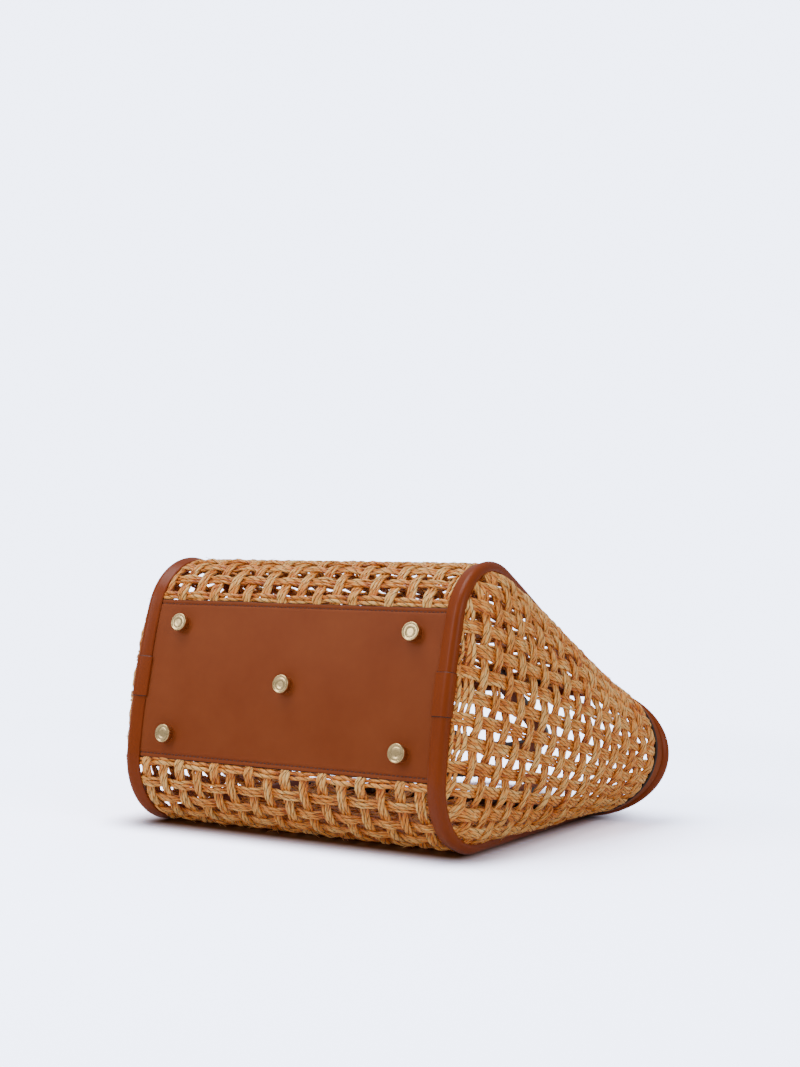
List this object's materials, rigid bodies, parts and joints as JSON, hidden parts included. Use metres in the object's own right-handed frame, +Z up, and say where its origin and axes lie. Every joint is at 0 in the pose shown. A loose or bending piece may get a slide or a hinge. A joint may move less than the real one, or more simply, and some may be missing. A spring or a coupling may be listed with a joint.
{
  "type": "woven bag",
  "caption": "Openly woven straw bag lying on its face, with a bowed leather base on round metal feet, corded seams, a wide oval leather-edged mouth and flat strap handles.",
  "frame": {"origin": "middle of the box's footprint, on the surface the bag lies on", "axes": "+X along the bag's width towards its right gusset, +Y from the base to the mouth, +Z up from the face it lies on"},
  "size_m": [0.3528, 0.3202, 0.1808],
  "materials": {
    "straw": "matte",
    "base_leather": "satin",
    "piping_leather": "satin",
    "foot_metal": "polished",
    "board": "matte",
    "washer_steel": "satin"
  },
  "bodies": {
    "root": {"base_panel": "base_leather", "base_board": "board", "upper_weave": "straw", "lower_weave": "straw", "right_gusset": "straw", "left_gusset": "straw", "right_piping": "piping_leather", "left_piping": "piping_leather", "right_piping_sleeve": "piping_leather", "left_piping_sleeve": "piping_leather", "mouth_band": "base_leather", "mouth_roll": "piping_leather", "upper_handle": "base_leather", "lower_handle": "base_leather", "foot_lower_left": "foot_metal", "foot_lower_right": "foot_metal", "foot_upper_left": "foot_metal", "foot_upper_right": "foot_metal", "foot_middle": "foot_metal", "foot_washer_lower_left": "washer_steel", "foot_washer_lower_right": "washer_steel", "foot_washer_upper_left": "washer_steel", "foot_washer_upper_right": "washer_steel", "foot_washer_middle": "washer_steel"}
  },
  "joints": []
}
